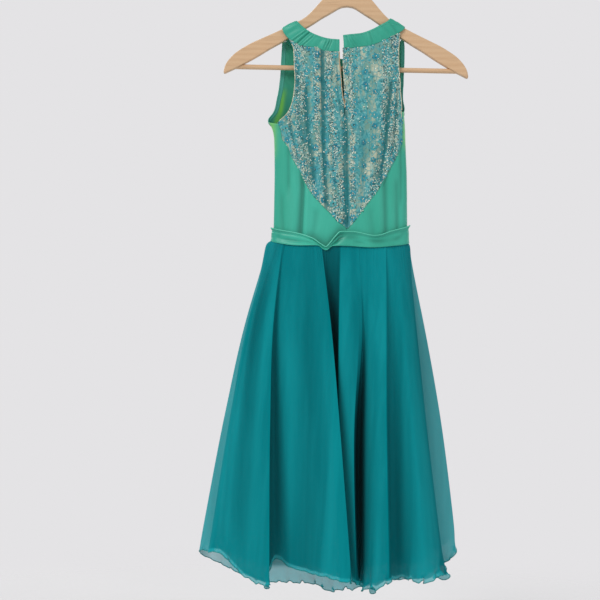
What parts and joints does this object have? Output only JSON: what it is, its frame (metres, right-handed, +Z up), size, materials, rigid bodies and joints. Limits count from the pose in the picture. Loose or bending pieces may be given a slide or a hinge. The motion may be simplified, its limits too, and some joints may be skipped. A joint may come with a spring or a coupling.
{
  "type": "lyrical dance costume on a wooden hanger",
  "caption": "Sleeveless dance dress with a lace V back, loose sash and full circle-cut skirt, hanging on a flat wooden hanger with a steel hook.",
  "frame": {"origin": "inside top of the hanger's hook, where it rests on a rail", "axes": "+Z up, -Y out of the back of the dress, +X towards the wearer's right"},
  "size_m": [0.4757, 0.1923, 1.1958],
  "materials": {
    "collar": "satin",
    "lace": "metallic lace over nude net",
    "satin": "satin",
    "front": "satin",
    "binding": "satin",
    "sash": "satin",
    "chiffon": "matte sheer",
    "wood": "satin lacquer",
    "wire": "polished"
  },
  "bodies": {
    "root": {"collar_back_left": "collar", "collar_back_right": "collar", "collar_front": "collar", "lace_back_left": "lace", "lace_back_right": "lace", "side_back_left": "satin", "side_back_right": "satin", "bodice_front": "front", "armhole_band_left": "binding", "armhole_band_right": "binding", "belt_back": "sash", "belt_front": "sash", "skirt_back_left": "chiffon", "skirt_back_centre": "chiffon", "skirt_back_right": "chiffon", "skirt_front_left": "chiffon", "skirt_front_right": "chiffon", "hanger_arms": "wood", "hanger_bar": "wood", "hanger_hook": "wire"}
  },
  "joints": []
}
